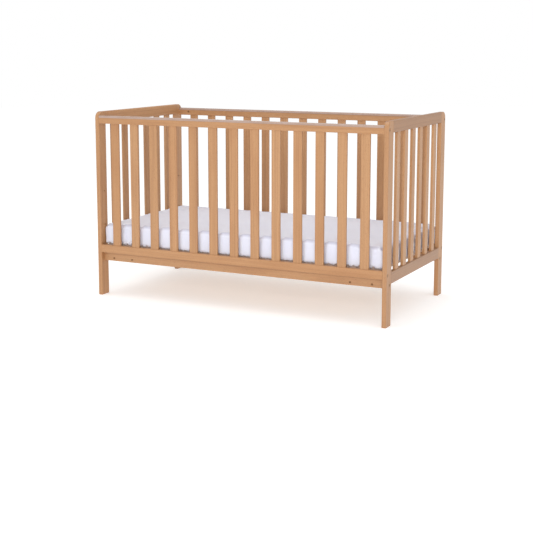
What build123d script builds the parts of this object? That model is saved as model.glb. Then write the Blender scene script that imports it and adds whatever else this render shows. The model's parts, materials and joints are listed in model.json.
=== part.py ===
from build123d import *
import os

# Baby crib for a 1400 x 700 mm mattress. Millimetres, +Z up.
# Origin: centre of the footprint on the floor. +X runs along the crib, -Y is its front side.

# Overall
LENGTH = 1445.0
WIDTH = 745.0
HEIGHT = 864.0

# Legs, which are also the stiles of the two end panels
LEG_X = 20.0
LEG_Y = 57.0
CORNER_RADIUS = 30.0
SOFT_EDGE = 3.0
SEAM_EDGE = 1.5

# End panels
END_TOP_RAIL_H = 50.0
END_BOTTOM_RAIL_Z = 179.0
END_BOTTOM_RAIL_H = 51.0
END_SLAT_COUNT = 6
END_TENON_LENGTH = 25.0
END_TENON_THICK = 9.0
END_TENON_SHOULDER = 8.0

# Side panels, bolted between the legs
SIDE_THICK = 20.0
SIDE_RECESS = 2.0
SIDE_TOP_Z = 846.0
SIDE_TOP_RAIL_H = 35.0
SIDE_BOTTOM_RAIL_Z = 204.0
SIDE_BOTTOM_RAIL_H = 37.0
SIDE_SLAT_COUNT = 13

# Slats, the same in every panel; each end is housed in a mortise in its rail
SLAT_WIDTH = 40.0
SLAT_THICK = 12.0
SLAT_EDGE = 2.0
SLAT_HOUSED = 10.0

# Teething rail: a thin plastic channel over each side's top rail
CAP_WALL = 1.5
CAP_SKIRT = 10.0
CAP_END_GAP = 1.0

# Mattress base, at its lowest height
BASE_RAIL_Z = 163.0
BASE_RAIL_H = 50.0
BASE_RAIL_THICK = 20.0
BASE_RAIL_FACE_Y = 347.0
BASE_END_GAP = 0.5
BASE_HEIGHT_STEP = 158.0
BASE_HEIGHTS = 3
UPPER_HOLE_DEPTH = 15.0
CROSS_RAIL_X = 549.0
CROSS_RAIL_THICK = 20.0
CROSS_RAIL_H = 38.0
BASE_SLAT_COUNT = 12
BASE_SLAT_WIDTH = 65.0
BASE_SLAT_THICK = 15.0
BASE_SLAT_OVERHANG = 2.0

# Mattress
MATTRESS_LENGTH = 1396.0
MATTRESS_WIDTH = 692.0
MATTRESS_THICK = 108.0
MATTRESS_GAP = 0.3
MATTRESS_CORNER = 25.0
MATTRESS_EDGE = 14.0

# Bolts and barrel nuts
BOLT_SHANK_R = 3.0
BOLT_HOLE_R = 3.5
BOLT_HEAD_R = 6.5
BOLT_HEAD_H = 2.6
COUNTERBORE_R = 7.2
COUNTERBORE_DEPTH = 3.6
SOCKET_WIDTH = 4.0
SOCKET_DEPTH = 1.6
BOLT_REACH = 62.0
NUT_R = 5.0
NUT_HOLE_R = 5.2
NUT_SETBACK = 54.0
NUT_RECESS = 1.5
NUT_LENGTH = 15.0
BASE_BOLT_Z = 176.0
SCREW_HEAD_R = 4.6
SCREW_HOLE_R = 4.8
SCREW_HEAD_H = 4.0
SCREW_SHANK_R = 2.5
SCREW_REACH = 45.0

# Worked out from the above
END_X = LENGTH / 2
INNER_X = END_X - LEG_X
FACE_Y = WIDTH / 2
INNER_LEG_Y = FACE_Y - LEG_Y
SIDE_FACE_Y = FACE_Y - SIDE_RECESS
SIDE_MID_Y = SIDE_FACE_Y - SIDE_THICK / 2
SIDE_TOP_RAIL_Z = SIDE_TOP_Z - CAP_WALL - SIDE_TOP_RAIL_H
SIDE_BOTTOM_RAIL_TOP = SIDE_BOTTOM_RAIL_Z + SIDE_BOTTOM_RAIL_H
END_TOP_RAIL_Z = HEIGHT - END_TOP_RAIL_H
END_BOTTOM_RAIL_TOP = END_BOTTOM_RAIL_Z + END_BOTTOM_RAIL_H
END_MID_X = END_X - LEG_X / 2
BASE_MID_Y = BASE_RAIL_FACE_Y - BASE_RAIL_THICK / 2
BASE_RAIL_TOP = BASE_RAIL_Z + BASE_RAIL_H
BASE_TOP = BASE_RAIL_TOP + BASE_SLAT_THICK
SIDE_BOLT_ZS = (SIDE_BOTTOM_RAIL_Z + SIDE_BOTTOM_RAIL_H / 2, SIDE_TOP_RAIL_Z + SIDE_TOP_RAIL_H / 2)
UPPER_BASE_BOLT_ZS = [BASE_BOLT_Z + step * BASE_HEIGHT_STEP for step in range(1, BASE_HEIGHTS)]
NUT_X = INNER_X - NUT_SETBACK
HEAD_SEAT_X = END_X - COUNTERBORE_DEPTH
BOLTS_IN_USE = [(SIDE_MID_Y, z) for z in SIDE_BOLT_ZS] + [(BASE_MID_Y, BASE_BOLT_Z)]


def block(x0, x1, y0, y1, z0, z1):
    """A box between two corners."""
    box = Box(x1 - x0, y1 - y0, z1 - z0)
    return Pos((x0 + x1) / 2, (y0 + y1) / 2, (z0 + z1) / 2) * box


def rod(x, y, z, radius, length, axis):
    """A round bar centred on a point, along the X or the Y axis."""
    turn = Rot(0, 90, 0) if axis == "X" else Rot(90, 0, 0)
    return Pos(x, y, z) * turn * Cylinder(radius, length)


def long_edges(part, axis):
    """The edges of a board that run along its length."""
    return part.edges().filter_by(axis)


def spread(count, low, high, width):
    """Centres of equal boards with equal gaps between two limits."""
    gap = (high - low - count * width) / (count + 1)
    return [low + gap + width / 2 + i * (gap + width) for i in range(count)]


SIDE_SLAT_XS = spread(SIDE_SLAT_COUNT, -INNER_X, INNER_X, SLAT_WIDTH)
END_SLAT_YS = spread(END_SLAT_COUNT, -INNER_LEG_Y, INNER_LEG_Y, SLAT_WIDTH)


def end_rail_tenon(side_x, side_y, z0, height):
    """The tenon that an end rail has at one leg."""
    low = min(side_y * INNER_LEG_Y, side_y * (INNER_LEG_Y + END_TENON_LENGTH))
    return block(
        side_x * END_MID_X - END_TENON_THICK / 2, side_x * END_MID_X + END_TENON_THICK / 2,
        low, low + END_TENON_LENGTH,
        z0 + END_TENON_SHOULDER, z0 + height - END_TENON_SHOULDER)


def leg(side_x, side_y):
    """A leg: rounded outer top corner, tenon slots, and holes for the bolts.

    The bolts in use go right through, with their heads sunk in the outer face. The holes for the
    higher base positions are blind, bored from the leg's inner face.
    """
    x0, x1 = sorted((side_x * INNER_X, side_x * END_X))
    y0, y1 = sorted((side_y * INNER_LEG_Y, side_y * FACE_Y))
    body = block(x0, x1, y0, y1, 0, HEIGHT)
    corner = body.edges().filter_by(Axis.X).group_by(Axis.Z)[-1].sort_by(Axis.Y)
    body = fillet(corner[-1] if side_y > 0 else corner[0], CORNER_RADIUS)
    body = fillet([e for e in body.edges() if on_outline(e)], SOFT_EDGE)
    seam = [e for e in long_edges(body, Axis.Z) if abs(e.center().Y) < INNER_LEG_Y + 1]
    body = fillet(seam, SEAM_EDGE)
    body -= end_rail_tenon(side_x, side_y, END_BOTTOM_RAIL_Z, END_BOTTOM_RAIL_H)
    body -= end_rail_tenon(side_x, side_y, END_TOP_RAIL_Z, END_TOP_RAIL_H)
    for y, z in BOLTS_IN_USE:
        body -= rod(side_x * END_MID_X, side_y * y, z, BOLT_HOLE_R, 2 * LEG_X, "X")
        body -= rod(side_x * END_X, side_y * y, z, COUNTERBORE_R, 2 * COUNTERBORE_DEPTH, "X")
    for z in UPPER_BASE_BOLT_ZS:
        body -= rod(side_x * INNER_X, side_y * BASE_MID_Y, z, BOLT_HOLE_R, 2 * UPPER_HOLE_DEPTH, "X")
    return body


def on_outline(edge):
    """True for the edges along a leg's outer side and top, where it is rounded over."""
    middle = edge.center()
    along_x = abs(edge.tangent_at(0.5).X) > 0.5
    return not along_x and middle.Z > 1 and abs(middle.Y) > INNER_LEG_Y + 1


def end_rail(side_x, z0, height):
    """A rail across an end panel, with a tenon at each leg."""
    x0, x1 = sorted((side_x * INNER_X, side_x * END_X))
    body = block(x0, x1, -INNER_LEG_Y, INNER_LEG_Y, z0, z0 + height)
    edges = long_edges(body, Axis.Y).group_by(Axis.Z)
    body = fillet(edges[-1] + edges[0], SOFT_EDGE)
    for side_y in (-1, 1):
        body += end_rail_tenon(side_x, side_y, z0, height)
    return body


def slat(width_axis, x, y, z0, z1):
    """An upright slat with rounded long edges, long enough to be housed in both rails."""
    size = (SLAT_WIDTH, SLAT_THICK) if width_axis == "X" else (SLAT_THICK, SLAT_WIDTH)
    body = Pos(x, y, (z0 + z1) / 2) * Box(*size, z1 - z0 + 2 * SLAT_HOUSED)
    return fillet(long_edges(body, Axis.Z), SLAT_EDGE)


def side_rail(side_y, z0, height, rounded):
    """A rail of a side panel, with bores for the bolts and cross holes for their nuts."""
    y0, y1 = sorted((side_y * (SIDE_FACE_Y - SIDE_THICK), side_y * SIDE_FACE_Y))
    body = block(-INNER_X, INNER_X, y0, y1, z0, z0 + height)
    body = fillet(long_edges(body, Axis.X), rounded)
    bolt_z = z0 + height / 2
    for side_x in (-1, 1):
        body -= rod(side_x * INNER_X, side_y * SIDE_MID_Y, bolt_z, BOLT_HOLE_R, 2 * BOLT_REACH, "X")
        depth = NUT_RECESS + NUT_LENGTH
        inner_face = SIDE_FACE_Y - SIDE_THICK
        body -= rod(side_x * NUT_X, side_y * (inner_face + depth / 2), bolt_z, NUT_HOLE_R, depth, "Y")
    return body


def teething_rail(side_y):
    """A thin channel that covers the top and both upper faces of a side's top rail."""
    outer_y = SIDE_THICK / 2 + CAP_WALL
    end_x = INNER_X - CAP_END_GAP
    skirt_z = SIDE_TOP_Z - CAP_SKIRT
    outer = block(-end_x, end_x, -outer_y, outer_y, skirt_z, SIDE_TOP_Z)
    outer = fillet(long_edges(outer, Axis.X).group_by(Axis.Z)[-1], SOFT_EDGE + CAP_WALL)
    inner = block(-INNER_X, INNER_X, -SIDE_THICK / 2, SIDE_THICK / 2, skirt_z - 10, SIDE_TOP_Z - CAP_WALL)
    inner = fillet(long_edges(inner, Axis.X).group_by(Axis.Z)[-1], SOFT_EDGE)
    return Pos(0, side_y * SIDE_MID_Y, 0) * (outer - inner)


def bolt(side_x, side_y, y, z, reach):
    """A socket-head bolt through a leg; its shank goes reach beyond the seat of its head."""
    head = rod(side_x * (HEAD_SEAT_X + BOLT_HEAD_H / 2), side_y * y, z, BOLT_HEAD_R, BOLT_HEAD_H, "X")
    rim = head.edges().sort_by(Axis.X)
    head = fillet(rim[-1] if side_x > 0 else rim[0], 1.0)
    socket = Pos(side_x * (HEAD_SEAT_X + BOLT_HEAD_H), side_y * y, z) * Rot(0, 90, 0) * extrude(
        RegularPolygon(SOCKET_WIDTH / 2, 6), SOCKET_DEPTH, both=True)
    shank = rod(side_x * (HEAD_SEAT_X - reach / 2), side_y * y, z, BOLT_SHANK_R, reach, "X")
    return head - socket + shank


def barrel_nut(x, y, z, bolt_y):
    """A round cross nut with a bore where the bolt passes."""
    body = rod(x, y, z, NUT_R, NUT_LENGTH, "Y")
    return body - rod(x, bolt_y, z, BOLT_SHANK_R, 4 * NUT_R, "X")


def base_long_rail(side_y):
    """A long rail of the mattress base: end bores, nut holes and screw holes."""
    y0, y1 = sorted((side_y * (BASE_RAIL_FACE_Y - BASE_RAIL_THICK), side_y * BASE_RAIL_FACE_Y))
    end_x = INNER_X - BASE_END_GAP
    body = block(-end_x, end_x, y0, y1, BASE_RAIL_Z, BASE_RAIL_TOP)
    body = fillet(long_edges(body, Axis.X), SLAT_EDGE)
    depth = NUT_RECESS + NUT_LENGTH
    for side_x in (-1, 1):
        body -= rod(side_x * INNER_X, side_y * BASE_MID_Y, BASE_BOLT_Z, BOLT_HOLE_R, 2 * BOLT_REACH, "X")
        body -= rod(side_x * NUT_X, side_y * (BASE_RAIL_FACE_Y - depth / 2), BASE_BOLT_Z,
                    NUT_HOLE_R, depth, "Y")
        body -= rod(side_x * CROSS_RAIL_X, side_y * BASE_RAIL_FACE_Y, BASE_BOLT_Z,
                    SCREW_HOLE_R, 2 * (SCREW_HEAD_H + NUT_RECESS), "Y")
        body -= rod(side_x * CROSS_RAIL_X, side_y * BASE_MID_Y, BASE_BOLT_Z,
                    SCREW_SHANK_R, 2 * BASE_RAIL_THICK, "Y")
    return body


def cross_rail(side_x):
    """A rail under the base slats, screwed between the two long rails."""
    inner_y = BASE_RAIL_FACE_Y - BASE_RAIL_THICK
    x = side_x * CROSS_RAIL_X
    body = block(x - CROSS_RAIL_THICK / 2, x + CROSS_RAIL_THICK / 2, -inner_y, inner_y,
                 BASE_RAIL_Z, BASE_RAIL_Z + CROSS_RAIL_H)
    body = fillet(long_edges(body, Axis.Y), SLAT_EDGE)
    for side_y in (-1, 1):
        body -= rod(x, side_y * inner_y, BASE_BOLT_Z, SCREW_SHANK_R, 2 * SCREW_REACH, "Y")
    return body


def screw(side_x, side_y):
    """A screw through a long rail into a cross rail, its head sunk in the rail's outer face."""
    x = side_x * CROSS_RAIL_X
    face = BASE_RAIL_FACE_Y - NUT_RECESS
    head = rod(x, side_y * (face - SCREW_HEAD_H / 2), BASE_BOLT_Z, SCREW_HEAD_R, SCREW_HEAD_H, "Y")
    socket = Pos(x, side_y * face, BASE_BOLT_Z) * Rot(90, 0, 0) * extrude(
        RegularPolygon(SOCKET_WIDTH / 2, 6), SOCKET_DEPTH, both=True)
    length = SCREW_REACH + BASE_RAIL_THICK - NUT_RECESS - 2
    shank = rod(x, side_y * (face - length / 2), BASE_BOLT_Z, SCREW_SHANK_R, length, "Y")
    return head - socket + shank - socket


def base_slat(x):
    """A flat slat that lies across the two long rails."""
    half_y = BASE_RAIL_FACE_Y - BASE_SLAT_OVERHANG
    body = block(x - BASE_SLAT_WIDTH / 2, x + BASE_SLAT_WIDTH / 2, -half_y, half_y, BASE_RAIL_TOP, BASE_TOP)
    return fillet(long_edges(body, Axis.Y), SLAT_EDGE)


def mattress():
    """The mattress as a plain closed block with rounded corners and edges."""
    z0 = BASE_TOP + MATTRESS_GAP
    body = block(-MATTRESS_LENGTH / 2, MATTRESS_LENGTH / 2, -MATTRESS_WIDTH / 2, MATTRESS_WIDTH / 2,
                 z0, z0 + MATTRESS_THICK)
    body = fillet(long_edges(body, Axis.Z), MATTRESS_CORNER)
    rims = [e for e in body.edges() if abs(e.tangent_at(0.5).Z) < 0.1]
    return fillet(rims, MATTRESS_EDGE)


def save(name, *solids):
    """Writes one sub-part, of one or more solids."""
    shape = solids[0] if len(solids) == 1 else Compound(children=list(solids))
    export_step(shape, os.path.join("parts", name + ".step"))


os.makedirs("parts", exist_ok=True)

END_NAMES = {-1: "left", 1: "right"}
SIDE_NAMES = {-1: "front", 1: "back"}
CORNERS = [(side_x, side_y) for side_x in (-1, 1) for side_y in (-1, 1)]

for side_x, side_y in CORNERS:
    save(f"leg_{SIDE_NAMES[side_y]}_{END_NAMES[side_x]}", leg(side_x, side_y))

for side_x, end in END_NAMES.items():
    top = end_rail(side_x, END_TOP_RAIL_Z, END_TOP_RAIL_H)
    bottom = end_rail(side_x, END_BOTTOM_RAIL_Z, END_BOTTOM_RAIL_H)
    for number, y in enumerate(END_SLAT_YS, 1):
        piece = slat("Y", side_x * END_MID_X, y, END_BOTTOM_RAIL_TOP, END_TOP_RAIL_Z)
        top -= piece
        bottom -= piece
        save(f"{end}_end_slat_{number}", piece)
    save(f"{end}_end_top_rail", top)
    save(f"{end}_end_bottom_rail", bottom)

for side_y, side in SIDE_NAMES.items():
    top = side_rail(side_y, SIDE_TOP_RAIL_Z, SIDE_TOP_RAIL_H, SOFT_EDGE)
    bottom = side_rail(side_y, SIDE_BOTTOM_RAIL_Z, SIDE_BOTTOM_RAIL_H, SOFT_EDGE)
    for number, x in enumerate(SIDE_SLAT_XS, 1):
        piece = slat("X", x, side_y * SIDE_MID_Y, SIDE_BOTTOM_RAIL_TOP, SIDE_TOP_RAIL_Z)
        top -= piece
        bottom -= piece
        save(f"{side}_slat_{number:02d}", piece)
    save(f"{side}_top_rail", top)
    save(f"{side}_bottom_rail", bottom)
    save(f"{side}_teething_rail", teething_rail(side_y))
    save(f"base_{side}_rail", base_long_rail(side_y))

side_bolt_length = HEAD_SEAT_X - INNER_X + BOLT_REACH
side_nut_y = SIDE_FACE_Y - SIDE_THICK + NUT_RECESS + NUT_LENGTH / 2
side_bolts, side_nuts = [], []
for side_x, side_y in CORNERS:
    for z in SIDE_BOLT_ZS:
        side_bolts.append(bolt(side_x, side_y, SIDE_MID_Y, z, side_bolt_length))
        side_nuts.append(barrel_nut(side_x * NUT_X, side_y * side_nut_y, z, side_y * SIDE_MID_Y))

base_bolt_length = HEAD_SEAT_X - INNER_X
base_nut_y = BASE_RAIL_FACE_Y - NUT_RECESS - NUT_LENGTH / 2
base_bolts, base_nuts, base_screws = [], [], []
for side_x, side_y in CORNERS:
    nut_place = (side_x * NUT_X, side_y * base_nut_y, BASE_BOLT_Z)
    base_bolts.append(bolt(side_x, side_y, BASE_MID_Y, BASE_BOLT_Z, base_bolt_length))
    base_nuts.append(barrel_nut(*nut_place, side_y * BASE_MID_Y))
    base_screws.append(screw(side_x, side_y))

save("leg_bolts", *side_bolts, *base_bolts)
save("side_barrel_nuts", *side_nuts)
save("base_fasteners", *base_nuts, *base_screws)
save("base_cross_rails", cross_rail(-1), cross_rail(1))
base_end = INNER_X - BASE_END_GAP
base_slat_xs = spread(BASE_SLAT_COUNT, -base_end, base_end, BASE_SLAT_WIDTH)
save("base_slats", *[base_slat(x) for x in base_slat_xs])
save("mattress", mattress())
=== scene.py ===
import json
import math
import random

import bmesh
import bpy
import numpy as np
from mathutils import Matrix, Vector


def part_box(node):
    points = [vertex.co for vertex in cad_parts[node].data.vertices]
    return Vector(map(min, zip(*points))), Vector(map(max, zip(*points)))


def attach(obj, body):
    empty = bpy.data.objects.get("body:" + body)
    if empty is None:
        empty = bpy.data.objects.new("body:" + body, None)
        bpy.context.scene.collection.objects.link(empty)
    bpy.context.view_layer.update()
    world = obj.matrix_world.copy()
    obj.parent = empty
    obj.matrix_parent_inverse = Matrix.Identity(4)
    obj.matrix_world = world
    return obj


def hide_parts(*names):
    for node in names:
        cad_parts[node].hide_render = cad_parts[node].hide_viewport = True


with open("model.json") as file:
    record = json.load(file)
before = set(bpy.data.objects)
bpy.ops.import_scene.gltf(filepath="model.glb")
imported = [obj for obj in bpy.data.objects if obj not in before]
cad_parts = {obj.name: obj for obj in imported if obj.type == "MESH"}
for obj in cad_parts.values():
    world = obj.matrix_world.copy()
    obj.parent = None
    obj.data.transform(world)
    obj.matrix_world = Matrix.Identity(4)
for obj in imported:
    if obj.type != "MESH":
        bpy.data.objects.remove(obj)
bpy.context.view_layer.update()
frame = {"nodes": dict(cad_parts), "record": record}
NODES = frame["nodes"]
FRONT_SLATS = [f"front_slat_{number:02d}" for number in range(1, 14)]
END_SLATS = [f"left_end_slat_{number}" for number in range(1, 7)]
BOARD_DRAWS = 11
SLACK_DRAWS = 5


# ---------------------------------------------------------------- shader helper

class Shader:
    """A material whose node tree is built step by step. An input takes a number, a colour or a socket."""

    def __init__(self, name):
        self.material = bpy.data.materials.new(name)
        self.material.use_nodes = True
        self.tree = self.material.node_tree
        self.surface = self.tree.nodes["Principled BSDF"]

    def feed(self, value, socket):
        if isinstance(value, bpy.types.NodeSocket):
            self.tree.links.new(value, socket)
        else:
            socket.default_value = value

    def node(self, kind, settings=None, **inputs):
        made = self.tree.nodes.new("ShaderNode" + kind)
        for name, value in (settings or {}).items():
            setattr(made, name, value)
        for name, value in inputs.items():
            self.feed(value, made.inputs[name.replace("_", " ")])
        return made

    def math(self, operation, *values):
        made = self.node("Math", {"operation": operation})
        for value, socket in zip(values, made.inputs):
            self.feed(value, socket)
        return made.outputs[0]

    def combine(self, x, y, z):
        return self.node("CombineXYZ", X=x, Y=y, Z=z).outputs[0]

    def noise(self, vector, scale, detail=2.0, roughness=0.5, distortion=0.0):
        made = self.node("TexNoise", Vector=vector, Scale=scale, Detail=detail,
                         Roughness=roughness, Distortion=distortion)
        return made.outputs[0]

    def noise_line(self, place, scale, detail=2.0):
        made = self.node("TexNoise", {"noise_dimensions": "1D"}, W=place, Scale=scale, Detail=detail)
        return made.outputs[0]

    def spread(self, value, low, high, to_low=0.0, to_high=1.0):
        made = self.node("MapRange", {"clamp": True}, Value=value, From_Min=low, From_Max=high,
                         To_Min=to_low, To_Max=to_high)
        return made.outputs[0]

    def ramp(self, value, *stops):
        made = self.node("ValToRGB", Fac=value)
        elements = made.color_ramp.elements
        while len(elements) < len(stops):
            elements.new(0.5)
        for element, (position, colour) in zip(elements, stops):
            element.position = position
            element.color = (*colour, 1.0)
        return made.outputs[0]

    def mix(self, a, b, factor, blend="MIX"):
        made = self.node("Mix", {"data_type": "RGBA", "blend_type": blend})
        for value, index in ((factor, 0), (a, 6), (b, 7)):
            self.feed((*value, 1.0) if isinstance(value, tuple) else value, made.inputs[index])
        return made.outputs[2]

    def attribute(self, name):
        return self.node("Attribute", {"attribute_type": "OBJECT", "attribute_name": name}).outputs["Fac"]

    def bump(self, height, strength, distance, below=None):
        made = self.node("Bump", Strength=strength, Distance=distance, Height=height)
        if below is not None:
            self.feed(below, made.inputs["Normal"])
        return made.outputs[0]

    def set(self, **inputs):
        for name, value in inputs.items():
            self.feed(value, self.surface.inputs[name.replace("_", " ")])


# ---------------------------------------------------------------- wood

# Where a board's own axes lie: across its section twice, then along its grain
ACROSS_AND_ALONG = {"X": "YZX", "Y": "ZXY", "Z": "XYZ"}


def wood(name, axis, dark, middle, light, coat):
    """Lacquered light hardwood, cut from a log: rings round a pith that lies beside the board."""
    s = Shader(name)
    coordinate = s.node("TexCoord")
    place = s.node("SeparateXYZ", Vector=coordinate.outputs["Object"]).outputs
    facing = s.node("SeparateXYZ", Vector=coordinate.outputs["Normal"]).outputs
    u, v, w = (place[letter] for letter in ACROSS_AND_ALONG[axis])
    u = s.math("SUBTRACT", u, s.attribute("pith_u"))
    v = s.math("SUBTRACT", v, s.attribute("pith_v"))
    seed = s.attribute("board_seed")
    w = s.math("ADD", w, seed)

    # Growth rings, wandering slowly along the board
    slow = s.noise(s.combine(s.math("MULTIPLY", u, 6.0), s.math("MULTIPLY", v, 6.0), w), 1.3, 2.0)
    radius = s.math("SQRT", s.math("ADD", s.math("MULTIPLY", u, u), s.math("MULTIPLY", v, v)))
    radius = s.math("ADD", radius, s.math("MULTIPLY", slow, 0.035))
    rings = s.noise_line(s.math("ADD", radius, seed), 210.0, 1.0)
    bands = s.noise_line(s.math("ADD", radius, seed), 60.0, 1.0)

    # Fibres: streaks far longer than they are wide, broad ones and fine ones
    streak_place = s.combine(u, v, s.math("MULTIPLY", w, 0.02))
    streaks = s.noise(streak_place, 130.0, 2.0)
    fine_place = s.combine(u, v, s.math("MULTIPLY", w, 0.04))
    fibres = s.noise(fine_place, 900.0, 2.0)

    # Short dark flecks, as in beech
    fleck_place = s.combine(u, v, s.math("MULTIPLY", w, 0.12))
    flecks = s.spread(s.noise(fleck_place, 1100.0, 0.0), 0.66, 0.76)

    grain = s.math("ADD", s.math("MULTIPLY", rings, 0.30), s.math("MULTIPLY", bands, 0.28))
    grain = s.math("ADD", grain, s.math("MULTIPLY", streaks, 0.30))
    grain = s.math("ADD", grain, s.math("MULTIPLY", fibres, 0.12))
    colour = s.ramp(grain, (0.28, dark), (0.50, middle), (0.72, light))

    # Each board has its own warmth and depth of colour, and the right end's boards are painted darker and
    # cooler as shade
    warm = s.spread(s.attribute("board_warmth"), 0.0, 1.0)
    colour = s.mix(colour, (0.95, 0.86, 0.76), s.math("MULTIPLY", warm, 0.45), "MULTIPLY")
    # Painted shade: the right end's boards are multiplied darker and cooler
    colour = s.mix(colour, (0.72, 0.70, 0.74), s.attribute("painted_side_shade"), "MULTIPLY")
    patches = s.noise(s.combine(u, v, s.math("MULTIPLY", w, 0.5)), 7.0, 1.0)
    colour = s.mix(colour, (0.86, 0.78, 0.70), s.spread(patches, 0.50, 0.75, 0.0, 0.55), "MULTIPLY")
    colour = s.mix(colour, (0.60, 0.45, 0.34), s.math("MULTIPLY", flecks, 0.55), "MULTIPLY")

    # End grain drinks more finish and goes darker
    end_face = s.spread(s.math("ABSOLUTE", facing[axis]), 0.75, 0.95)
    colour = s.mix(colour, (0.80, 0.70, 0.60), s.math("MULTIPLY", end_face, 0.8), "MULTIPLY")

    rough = s.spread(s.math("ADD", s.math("MULTIPLY", fibres, 0.5), s.math("MULTIPLY", streaks, 0.5)),
                     0.3, 0.7, 0.40, 0.54)
    height = s.math("SUBTRACT", s.math("MULTIPLY", fibres, 0.6), s.math("MULTIPLY", flecks, 0.8))
    s.set(Base_Color=colour, Roughness=rough, Normal=s.bump(height, 0.35, 0.0003),
          Coat_Weight=coat, Coat_Roughness=0.32, IOR=1.5)
    return s.material


HONEY = {
    "dark": (0.375, 0.185, 0.080),
    "middle": (0.462, 0.243, 0.109),
    "light": (0.535, 0.295, 0.142),
}
PALE = {
    "dark": (0.520, 0.330, 0.175),
    "middle": (0.640, 0.440, 0.260),
    "light": (0.740, 0.545, 0.350),
}
FRAME_WOOD = {axis: wood(f"frame wood along {axis}", axis, **HONEY, coat=0.2) for axis in "XYZ"}
BASE_WOOD = wood("base wood along Y", "Y", **PALE, coat=0.0)

# Painted shade on the right end's boards and the front right leg: 0 is like the rest and 1 is much darker
RIGHT_END_PAINTED_SHADE = {"right_end_top_rail": 0.9, "right_end_bottom_rail": 0.9, "leg_front_right": 0.2}

# How far from a board's middle its pith may lie, and how far apart two boards' grains may start
NEAREST_PITH, FARTHEST_PITH = 0.02, 0.07
LONGEST_SEED = 40.0


def longest_axis(node):
    """The axis a board's grain runs along."""
    low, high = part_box(node)
    size = high - low
    return "XYZ"[max(range(3), key=lambda i: size[i])]


def finish_board(node, draw, axis, material):
    """Gives a board its place in its own log, its tone, its painted shade if any, and its material."""
    low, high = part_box(node)
    centre = dict(zip("XYZ", (low + high) / 2))
    across_u, across_v = ACROSS_AND_ALONG[axis][:2]
    board = NODES[node]
    for name, across in (("pith_u", across_u), ("pith_v", across_v)):
        board[name] = centre[across] + draw.uniform(NEAREST_PITH, FARTHEST_PITH) * draw.choice((-1, 1))
    board["board_seed"] = draw.uniform(0.0, LONGEST_SEED)
    board["board_warmth"] = draw.uniform(0.0, 1.0)
    # Painted shade, nonzero only on the right end's boards and the front right leg
    board["painted_side_shade"] = RIGHT_END_PAINTED_SHADE.get(node, 0.0)
    for slot in board.material_slots:
        slot.material = material


def finish_wood():
    """Every wooden node, in the order of the record."""
    draw = random.Random(BOARD_DRAWS)
    for entry in frame["record"]["subparts"]:
        node, slot = entry["node"], entry["material_slot"]
        if slot == "frame_wood":
            axis = longest_axis(node)
            finish_board(node, draw, axis, FRAME_WOOD[axis])
        elif slot == "base_wood":
            finish_board(node, draw, "Y", BASE_WOOD)


# ---------------------------------------------------------------- plastic and steel

def teething_plastic():
    """Milky, faintly pink plastic: the wood behind shows as long soft streaks under a gloss."""
    s = Shader("teething plastic")
    place = s.node("TexCoord").outputs["Object"]
    behind = s.noise(s.node("Mapping", Vector=place, Scale=(2.5, 160.0, 160.0)).outputs[0], 1.0, 2.0)
    drawn = s.noise(s.node("Mapping", Vector=place, Scale=(4.0, 900.0, 900.0)).outputs[0], 1.0, 2.0)
    cloud = s.noise(place, 20.0, 2.0)
    colour = s.ramp(behind, (0.35, (0.345, 0.220, 0.160)), (0.65, (0.410, 0.277, 0.212)))
    colour = s.mix(colour, (0.440, 0.330, 0.285), s.spread(cloud, 0.35, 0.65, 0.25, 0.55))
    rough = s.spread(drawn, 0.3, 0.7, 0.20, 0.32)
    s.set(Base_Color=colour, Roughness=rough, Normal=s.bump(drawn, 0.10, 0.0002), IOR=1.46,
          Coat_Weight=0.25, Coat_Roughness=0.15)
    return s.material


def steel(name, low, high, metallic):
    """Dull plated steel with a cloudy tone and a speckle."""
    s = Shader(name)
    place = s.node("TexCoord").outputs["Object"]
    speckle = s.noise(place, 1400.0, 3.0)
    cloud = s.noise(place, 160.0, 2.0)
    colour = s.ramp(cloud, (0.35, low), (0.65, high))
    rough = s.spread(speckle, 0.3, 0.7, 0.36, 0.55)
    s.set(Base_Color=colour, Roughness=rough, Metallic=metallic, Normal=s.bump(speckle, 0.2, 0.0002),
          Specular_IOR_Level=0.3)
    return s.material


def finish_rest():
    """Every plastic and steel node."""
    plastic = teething_plastic()
    bronze = steel("bronzed steel", (0.170, 0.078, 0.030), (0.260, 0.128, 0.055), 0.35)
    bolt_steel = steel("bolt steel", (0.300, 0.200, 0.125), (0.420, 0.290, 0.190), 0.75)
    for entry in frame["record"]["subparts"]:
        node, slot_name = entry["node"], entry["material_slot"]
        if slot_name == "teething_plastic":
            material = plastic
        elif slot_name == "steel":
            material = bolt_steel if node == "leg_bolts" else bronze
        else:
            continue
        for slot in NODES[node].material_slots:
            slot.material = material


# ---------------------------------------------------------------- mattress

MATTRESS_LOW, MATTRESS_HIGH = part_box("mattress")

# The loose cover, before and while it is blown up
START_INSET = 0.006
VOXEL = 0.006
MOVE_CAP = 0.010
PRESSURE = 4.0
CLOTH_FRAMES = 20
SMOOTHING_ROUNDS = 24

# The settled block's rounded edges
CORNER_RADIUS = 0.015
TOP_RADIUS = 0.011
BOTTOM_RADIUS = 0.013
END_BOTTOM_RADIUS = 0.009
SIDE_INSET = 0.0005

# How far in from the side the rim, the seam and the hollow behind them lie
RIM_DEPTH = 0.0075
SEAM_DEPTH = 0.0088
HOLLOW_DEPTH = 0.024

# The hem's height, and how far the mattress's own ticking is tucked in under it
HEM_HEIGHT = 0.018
TUCK_IN = 0.011

# How far the shaped cover may go past the CAD solid's box
PAST_END = 0.0026
PAST_SIDE = 0.0024
PAST_TOP = 0.0098
TURN = 2 * math.pi


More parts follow.
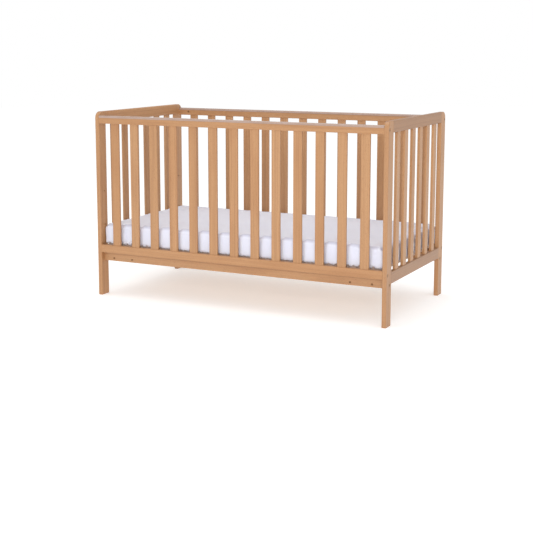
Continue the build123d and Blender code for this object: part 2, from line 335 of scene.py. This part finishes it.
def block_mesh(name, low, high):
    """A closed box mesh between two corners."""
    corners = [(x, y, z) for x in (low.x, high.x) for y in (low.y, high.y) for z in (low.z, high.z)]
    faces = [(0, 1, 3, 2), (4, 6, 7, 5), (0, 4, 5, 1), (2, 3, 7, 6), (0, 2, 6, 4), (1, 5, 7, 3)]
    mesh = bpy.data.meshes.new(name)
    mesh.from_pydata(corners, [], faces)
    return mesh


def apply_modifiers(obj):
    bpy.ops.object.select_all(action="DESELECT")
    obj.select_set(True)
    bpy.context.view_layer.objects.active = obj
    for modifier in list(obj.modifiers):
        bpy.ops.object.modifier_apply(modifier=modifier.name)


def read_points(mesh):
    flat = np.zeros(len(mesh.vertices) * 3, np.float32)
    mesh.vertices.foreach_get("co", flat)
    return flat.reshape(-1, 3).astype(float)


def write_points(mesh, points):
    mesh.vertices.foreach_set("co", points.astype(np.float32).ravel())
    mesh.update()


def puff(pad):
    """Blows a loose cover up from inside. Returns how far each point moved, no further than the cap."""
    start = read_points(pad.data)
    cloth = pad.modifiers.new("Cloth", "CLOTH")
    settings = cloth.settings
    settings.quality = 4
    settings.mass = 0.3
    settings.tension_stiffness = 20
    settings.compression_stiffness = 10
    settings.shear_stiffness = 6
    settings.bending_stiffness = 0.4
    settings.shrink_min = -0.03
    settings.use_pressure = True
    settings.uniform_pressure_force = PRESSURE
    settings.effector_weights.gravity = 0.0
    cloth.collision_settings.use_collision = False
    cloth.point_cache.frame_start = 1
    cloth.point_cache.frame_end = CLOTH_FRAMES
    scene = bpy.context.scene
    for number in range(1, CLOTH_FRAMES + 1):
        scene.frame_set(number)
    moved = read_points(pad.evaluated_get(bpy.context.evaluated_depsgraph_get()).data)
    pad.modifiers.remove(cloth)
    scene.frame_set(1)
    step = moved - start
    length = np.linalg.norm(step, axis=1, keepdims=True)
    return step * np.minimum(1.0, MOVE_CAP / np.maximum(length, 1e-9))


def smooth_step(value, low, high):
    t = np.clip((value - low) / (high - low), 0.0, 1.0)
    return t * t * (3 - 2 * t)


def hump(value, centre, width):
    return np.exp(-(((value - centre) / width) ** 2))


def between_slats(place, nodes, axis, start=-0.008, end=0.012):
    """0 where a slat presses on the mattress and 1 in the gap between two slats."""
    result = np.ones_like(place)
    for node in nodes:
        low, high = (corner[axis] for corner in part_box(node))
        away = np.abs(place - (low + high) / 2) - (high - low) / 2
        result = np.minimum(result, smooth_step(away, start, end))
    return result


def waves(draw, x, y, count, length):
    """A smooth sum of slanted waves, between about -1 and 1."""
    total = np.zeros_like(x)
    for _ in range(count):
        angle, phase = draw.uniform(0, math.pi), draw.uniform(0, TURN)
        size = length * draw.uniform(0.6, 1.7)
        total += np.sin((x * math.cos(angle) + y * math.sin(angle)) * TURN / size + phase)
    return total / count ** 0.5 / 1.4


def shape_cover(points):
    """Settles the pad on its real outline, then works in its rim, bulges, hem and slack."""
    draw = random.Random(SLACK_DRAWS)
    low, high = MATTRESS_LOW, MATTRESS_HIGH
    half_x, half_y = high.x, high.y - SIDE_INSET
    x, y, z = points.T.copy()

    # How far in from the side each point lies, and which way is out
    out_x = np.maximum(np.abs(x) - (half_x - CORNER_RADIUS), 0) * np.sign(x)
    out_y = np.maximum(np.abs(y) - (half_y - CORNER_RADIUS), 0) * np.sign(y)
    reach = np.hypot(out_x, out_y)
    at_corner = reach > 0
    x_edge, y_edge = half_x - np.abs(x), half_y - np.abs(y)
    inside = np.where(at_corner, CORNER_RADIUS - reach, np.minimum(x_edge, y_edge))
    normal_x = out_x / np.maximum(reach, 1e-9)
    normal_y = out_y / np.maximum(reach, 1e-9)

    # Settle on a block with rounded edges
    middle = (low.z + high.z) / 2
    end_facing = np.where(at_corner, smooth_step(np.abs(normal_x), 0.5, 0.9), x_edge < y_edge)
    bottom_radius = BOTTOM_RADIUS + (END_BOTTOM_RADIUS - BOTTOM_RADIUS) * end_facing
    radius = np.where(z > middle, TOP_RADIUS, bottom_radius)
    over = np.where(z > middle, z - (high.z - radius), (low.z + radius) - z)
    near = np.maximum(radius - inside, 0)
    over = np.maximum(over, 0)
    length = np.maximum(np.hypot(near, over), 1e-9)
    new_inside = np.where(near > 0, radius - near * radius / length, inside)
    new_over = over * radius / length
    z = np.where(over > 0, np.where(z > middle, high.z - radius + new_over, low.z + radius - new_over), z)
    shift = inside - new_inside
    side = np.clip(near / length, 0, 1)
    upper = smooth_step(z, middle, high.z - 0.012)

    # Side faces swell between the slats and give way behind them
    front_back = np.abs(normal_y) > np.abs(normal_x)
    gap = np.where(front_back, between_slats(x, FRONT_SLATS, 0), between_slats(y, END_SLATS, 1))
    swell = -0.0012 + 0.0038 * gap

    # Hem: a stitched line low on the side, gathered towards the corners, over the tucked-in ticking
    hem_z = low.z + HEM_HEIGHT
    stitched = hump(z, hem_z, 0.0035)
    along = np.where(front_back, x, y)
    to_corner = np.where(front_back, x_edge, y_edge)
    gathered = 0.04 + 0.96 * np.exp(-np.maximum(to_corner, 0) / 0.10)
    ripple = np.sin(along * TURN / 0.021 + 2.0 * np.sin(along * 31))
    ripple = ripple + 0.7 * np.sin(along * TURN / 0.0135)
    fall = np.exp(-np.maximum(z - hem_z, 0) / 0.020)
    swell = swell - 0.0016 * stitched + ripple * gathered * fall * 0.0013
    tuck = np.maximum(0, np.sin(along * TURN / 0.031 + 1.9 * np.sin(along * 23))) ** 1.5
    near_hem = 1 - smooth_step(z, low.z + 0.004, hem_z + 0.012)
    lifted = tuck * smooth_step(to_corner, 0.42, 0.12) * near_hem * 0.0145

    # Below the hem edge the side tucks in; this band is coloured as beige ticking, darkened as painted
    # shade for the recess under the hem
    hem_edge = hem_z - 0.0005 + 0.0016 * ripple * (0.45 + gathered)
    under = 1 - smooth_step(z, hem_edge - 0.0045, hem_edge)
    swell = swell - TUCK_IN * under
    shift = shift + side * swell
    x = x + normal_x * shift
    y = y + normal_y * shift

    # A rolled rim stands up along the top edge, with a hollow behind it. It is even along the back and
    # the ends, and along the front it rises between the slats.
    depth = np.maximum(new_inside, 0)
    x_edge, y_edge = half_x - np.abs(x), half_y - np.abs(y)
    edge_gap = np.where(y_edge < x_edge,
                        between_slats(x, FRONT_SLATS, 0, -0.012, 0.018),
                        between_slats(y, END_SLATS, 1, -0.012, 0.018))
    corner_fade = smooth_step(np.maximum(x_edge, y_edge), 0.0, 0.05)
    edge_gap = edge_gap * corner_fade
    even = np.maximum(smooth_step(y, half_y - 0.16, half_y - 0.06),
                      smooth_step(np.abs(x), half_x - 0.16, half_x - 0.04))
    rim_height = even * (0.0015 + 0.0010 * edge_gap) + (1 - even) * (-0.0035 + 0.0128 * edge_gap)
    rim = hump(depth, RIM_DEPTH, 0.0075) * rim_height
    hollow = hump(depth, HOLLOW_DEPTH, 0.009) * 0.0030
    # Seam: a shallow sunk line behind the rim, whose mask is also used to paint shade into the cover's
    # colour for the crease behind the rim
    seam_and_painted_shade = hump(depth, SEAM_DEPTH, 0.0032) * upper
    z = z + upper * (rim - hollow) + lifted * side - seam_and_painted_shade * 0.0010

    # Slack in the cloth on top, and a slight crown
    field = smooth_step(depth, 0.02, 0.07) * upper
    slack = waves(draw, x, y, 9, 0.26) * 0.0011 + waves(draw, x, y, 9, 0.10) * 0.0004
    crown = 0.0020 * np.clip(1 - (x / half_x) ** 2, 0, 1) * np.clip(1 - (y / half_y) ** 2, 0, 1)
    z = z + field * (slack + crown) - 0.0020 * field

    x = np.clip(x, low.x - PAST_END, high.x + PAST_END)
    y = np.clip(y, low.y - PAST_SIDE, high.y + PAST_SIDE)
    z = np.clip(z, low.z, high.z + PAST_TOP)
    return np.stack([x, y, z], axis=1), {"seam_and_painted_shade": seam_and_painted_shade, "ticking_and_painted_shade": under}


def loose_part(mesh, step):
    """The creases: what is left of the cloth's movement without its broad, even part."""
    edges = np.zeros(len(mesh.edges) * 2, np.int32)
    mesh.edges.foreach_get("vertices", edges)
    first, second = edges.reshape(-1, 2).T
    count = np.bincount(first, minlength=len(step)) + np.bincount(second, minlength=len(step))
    broad = step.copy()
    for _ in range(SMOOTHING_ROUNDS):
        total = np.zeros_like(broad)
        np.add.at(total, first, broad[second])
        np.add.at(total, second, broad[first])
        broad = 0.5 * broad + 0.5 * total / np.maximum(count, 1)[:, None]
    return step - broad


def keep_creases(pad, creases):
    """Stores the creases on the coarse mesh, strongest near its ends; its subdivision carries them."""
    x = read_points(pad.data)[:, 0]
    near_end = np.exp(-np.maximum(MATTRESS_HIGH.x - np.abs(x), 0) / 0.14)
    creases = creases * (0.12 + 0.75 * near_end)[:, None]
    kept = pad.data.attributes.new("creases", "FLOAT_VECTOR", "POINT")
    kept.data.foreach_set("vector", creases.astype(np.float32).ravel())


def kept_creases(pad):
    """The stored creases, one for each point of the subdivided mesh."""
    flat = np.zeros(len(pad.data.vertices) * 3, np.float32)
    kept = pad.data.attributes.get("creases")
    if kept:
        kept.data.foreach_get("vector", flat)
        pad.data.attributes.remove(kept)
    return flat.reshape(-1, 3).astype(float)


def cover_cloth():
    """White cotton jersey: a fine knit, a little fuzz and a faint cool cast, over beige ticking that is
    also darkened as painted shade under the hem, with painted shade along the seam behind the top rim.
    """
    s = Shader("mattress cover")
    coordinate = s.node("TexCoord")
    place = coordinate.outputs["Object"]
    facing = s.node("SeparateXYZ", Vector=coordinate.outputs["Normal"]).outputs
    parts = s.node("SeparateXYZ", Vector=place).outputs
    flat = s.spread(s.math("ABSOLUTE", facing["Z"]), 0.5, 0.8)
    upright = s.math("SUBTRACT", 1.0, flat)
    run = s.math("ADD", parts["X"], s.math("MULTIPLY", parts["Y"], upright))
    rise = s.math("ADD", s.math("MULTIPLY", parts["Y"], flat), s.math("MULTIPLY", parts["Z"], upright))
    rib = s.math("SINE", s.math("MULTIPLY", run, TURN / 0.0018))
    loop = s.math("SINE", s.math("ADD", s.math("MULTIPLY", rise, TURN / 0.0013),
                                 s.math("MULTIPLY", rib, 1.2)))
    knit = s.math("ADD", s.math("MULTIPLY", rib, 0.6), s.math("MULTIPLY", loop, 0.4))
    fuzz = s.noise(place, 900.0, 3.0, 0.6)
    crease_place = s.node("Mapping", Vector=place, Scale=(1.0, 1.6, 1.3)).outputs[0]
    crease = s.noise(crease_place, 14.0, 4.0, 0.55, 0.6)
    cloud = s.noise(place, 5.0, 2.0)
    shade = s.math("ADD", s.math("MULTIPLY", cloud, 0.6), s.math("MULTIPLY", fuzz, 0.4))
    colour = s.ramp(shade, (0.35, (0.690, 0.700, 0.800)), (0.65, (0.735, 0.745, 0.845)))
    hem = s.math("ABSOLUTE", s.math("SUBTRACT", parts["Z"], MATTRESS_LOW.z + HEM_HEIGHT))
    stitch = s.spread(s.math("SINE", s.math("MULTIPLY", run, TURN / 0.0040)), -0.4, 0.2)
    stitch = s.math("MULTIPLY", stitch, s.spread(hem, 0.0004, 0.0010, 1.0, 0.0))
    stitch = s.math("MULTIPLY", stitch, upright)
    colour = s.mix(colour, (0.62, 0.64, 0.74), s.math("MULTIPLY", stitch, 0.7))
    # Painted shade along the seam behind the top rim, darker and cooler where the crease falls into
    # shadow
    seam_and_painted_shade = s.node("Attribute", {"attribute_name": "seam_and_painted_shade"}).outputs["Fac"]
    colour = s.mix(colour, (0.66, 0.65, 0.71), s.math("MULTIPLY", seam_and_painted_shade, 0.85), "MULTIPLY")
    # Below the hem: beige ticking colour, also painted darker and warmer as the shade in the recess under
    # the hem
    ticking_and_painted_shade = s.node("Attribute", {"attribute_name": "ticking_and_painted_shade"}).outputs["Fac"]
    colour = s.mix(colour, (0.88, 0.67, 0.49), ticking_and_painted_shade, "MULTIPLY")
    weave = s.bump(knit, 0.25, 0.0002)
    soft = s.bump(crease, 0.25, 0.0020, below=weave)
    s.set(Base_Color=colour, Roughness=0.86, Normal=s.bump(fuzz, 0.15, 0.0003, below=soft),
          Sheen_Weight=0.2, Sheen_Roughness=0.5,
          Subsurface_Weight=0.7, Subsurface_Scale=0.025, Subsurface_Radius=(1.0, 1.0, 1.0))
    return s.material


def make_mattress():
    """The padded, covered mattress in place of its CAD solid."""
    inset = Vector((START_INSET, START_INSET, START_INSET))
    pad = bpy.data.objects.new(
        "mattress_pad", block_mesh("mattress_pad", MATTRESS_LOW + inset, MATTRESS_HIGH - inset))
    bpy.context.scene.collection.objects.link(pad)
    bevel = pad.modifiers.new("Corners", "BEVEL")
    bevel.width = 0.014
    bevel.segments = 3
    remesh = pad.modifiers.new("Voxels", "REMESH")
    remesh.mode = "VOXEL"
    remesh.voxel_size = VOXEL
    apply_modifiers(pad)
    keep_creases(pad, loose_part(pad.data, puff(pad)))
    subdivision = pad.modifiers.new("Fine", "SUBSURF")
    subdivision.levels = 1
    subdivision.render_levels = 1
    apply_modifiers(pad)
    points, marks = shape_cover(read_points(pad.data))
    write_points(pad.data, points + kept_creases(pad))
    for name, values in marks.items():
        mark = pad.data.attributes.new(name, "FLOAT", "POINT")
        mark.data.foreach_set("value", values.astype(np.float32))
    pad.data.polygons.foreach_set("use_smooth", [True] * len(pad.data.polygons))
    pad.data.materials.append(cover_cloth())
    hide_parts("mattress")
    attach(pad, "mattress")


# ---------------------------------------------------------------- studio

STAGE_RADIUS = 16.0
CRIB_MIDDLE = (0.0, 0.0, 0.45)
CAMERA_PLACE = (2.3288, -4.6854, 1.1818)
CAMERA_PITCH = 0.1507
CAMERA_TURN = 0.4648
CAMERA_LENS = 76.09
SENSOR_WIDTH = 36.0
CAMERA_SHIFT = -0.10


def glow(name, strength):
    """Plain white light, with nothing reflected."""
    s = Shader(name)
    s.set(Base_Color=(0.0, 0.0, 0.0, 1.0), Specular_IOR_Level=0.0,
          Emission_Color=(1.0, 1.0, 1.0, 1.0), Emission_Strength=strength)
    return s.material


def lit_floor(name, colour, glow_strength):
    """White paper with a light table's faint glow, so that it meets the dome without a line."""
    s = Shader(name)
    s.set(Base_Color=(*colour, 1.0), Roughness=0.9, Specular_IOR_Level=0.0,
          Emission_Color=(1.0, 1.0, 1.0, 1.0), Emission_Strength=glow_strength)
    return s.material


def stage_piece(name, build, material):
    """A stage object from one bmesh operation."""
    mesh = bpy.data.meshes.new(name)
    bm = bmesh.new()
    build(bm)
    bm.to_mesh(mesh)
    bm.free()
    mesh.materials.append(material)
    piece = bpy.data.objects.new(name, mesh)
    bpy.context.scene.collection.objects.link(piece)
    return piece


def make_floor():
    """A wide white floor under a white dome that only the camera sees."""
    stage_piece(
        "studio_floor",
        lambda bm: bmesh.ops.create_circle(bm, cap_ends=True, segments=96, radius=STAGE_RADIUS),
        lit_floor("studio floor", (0.86, 0.86, 0.86), 0.34))
    dome = stage_piece(
        "studio_dome",
        lambda bm: bmesh.ops.create_icosphere(bm, subdivisions=4, radius=STAGE_RADIUS),
        glow("studio dome", 1.0))
    dome.visible_diffuse = dome.visible_glossy = dome.visible_transmission = dome.visible_shadow = False


def area_light(name, place, target, size, power):
    data = bpy.data.lights.new(name, "AREA")
    data.shape = "RECTANGLE"
    data.size, data.size_y = size
    data.energy = power
    light = bpy.data.objects.new(name, data)
    bpy.context.scene.collection.objects.link(light)
    light.location = place
    light.rotation_euler = (Vector(target) - Vector(place)).to_track_quat("-Z", "Y").to_euler()


def make_studio():
    scene = bpy.context.scene
    world = bpy.data.worlds.new("studio")
    scene.world = world
    world.use_nodes = True
    background = world.node_tree.nodes["Background"]
    background.inputs["Color"].default_value = (0.98, 0.99, 1.0, 1.0)
    background.inputs["Strength"].default_value = 0.80
    area_light("key", (3.5, -7.2, 2.6), CRIB_MIDDLE, (3.2, 2.2), 215)
    area_light("overhead", (-0.3, -0.4, 3.6), (0, 0, 0.3), (3.0, 2.4), 34)
    scene.view_settings.view_transform = "Standard"
    scene.view_settings.look = "None"


def make_camera():
    """Stands off the crib's right front corner, at a grown-up's chest height, looking slightly down."""
    data = bpy.data.cameras.new("camera")
    camera = bpy.data.objects.new("camera", data)
    bpy.context.scene.collection.objects.link(camera)
    camera.location = CAMERA_PLACE
    camera.rotation_euler = (math.pi / 2 - CAMERA_PITCH, 0.0, CAMERA_TURN)
    data.sensor_width = SENSOR_WIDTH
    data.lens = CAMERA_LENS
    data.shift_y = CAMERA_SHIFT
    bpy.context.scene.camera = camera


finish_wood()
finish_rest()
make_mattress()
make_floor()
make_studio()
make_camera()
